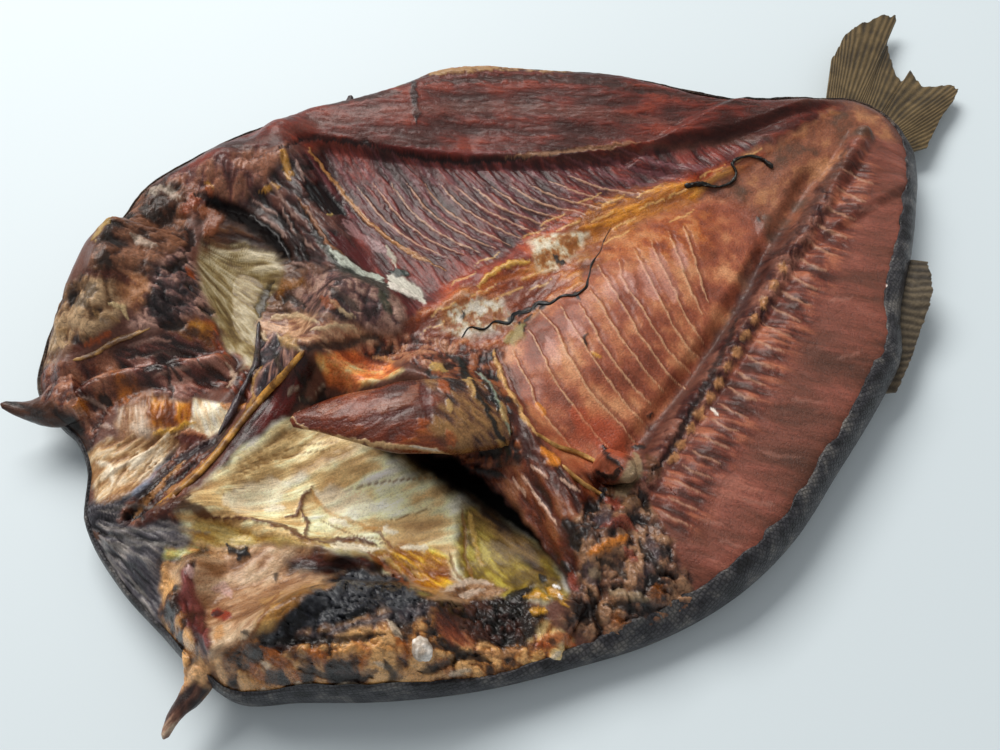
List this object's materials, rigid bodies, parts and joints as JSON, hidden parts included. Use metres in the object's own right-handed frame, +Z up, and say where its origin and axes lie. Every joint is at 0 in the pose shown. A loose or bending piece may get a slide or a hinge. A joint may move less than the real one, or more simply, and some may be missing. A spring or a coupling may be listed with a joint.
{
  "type": "dried split silver carp",
  "caption": "Whole silver carp split along the back, opened out flat with its head and tail on, and smoke-dried; a shallow bowl of skin and flesh that rests on its belly.",
  "frame": {"origin": "middle of the belly's flat foot on the table, at the bottom centre of the part's box", "axes": "+X from the chin to the tail fin along the fish, +Y to the left flank, +Z up out of the opened flesh"},
  "size_m": [0.5842, 0.3572, 0.0534],
  "materials": {
    "smoked_flesh": "oily smoked flesh, dried to leather, over dark scaly skin"
  },
  "bodies": {
    "root": {"split_carp": "smoked_flesh"}
  },
  "joints": []
}
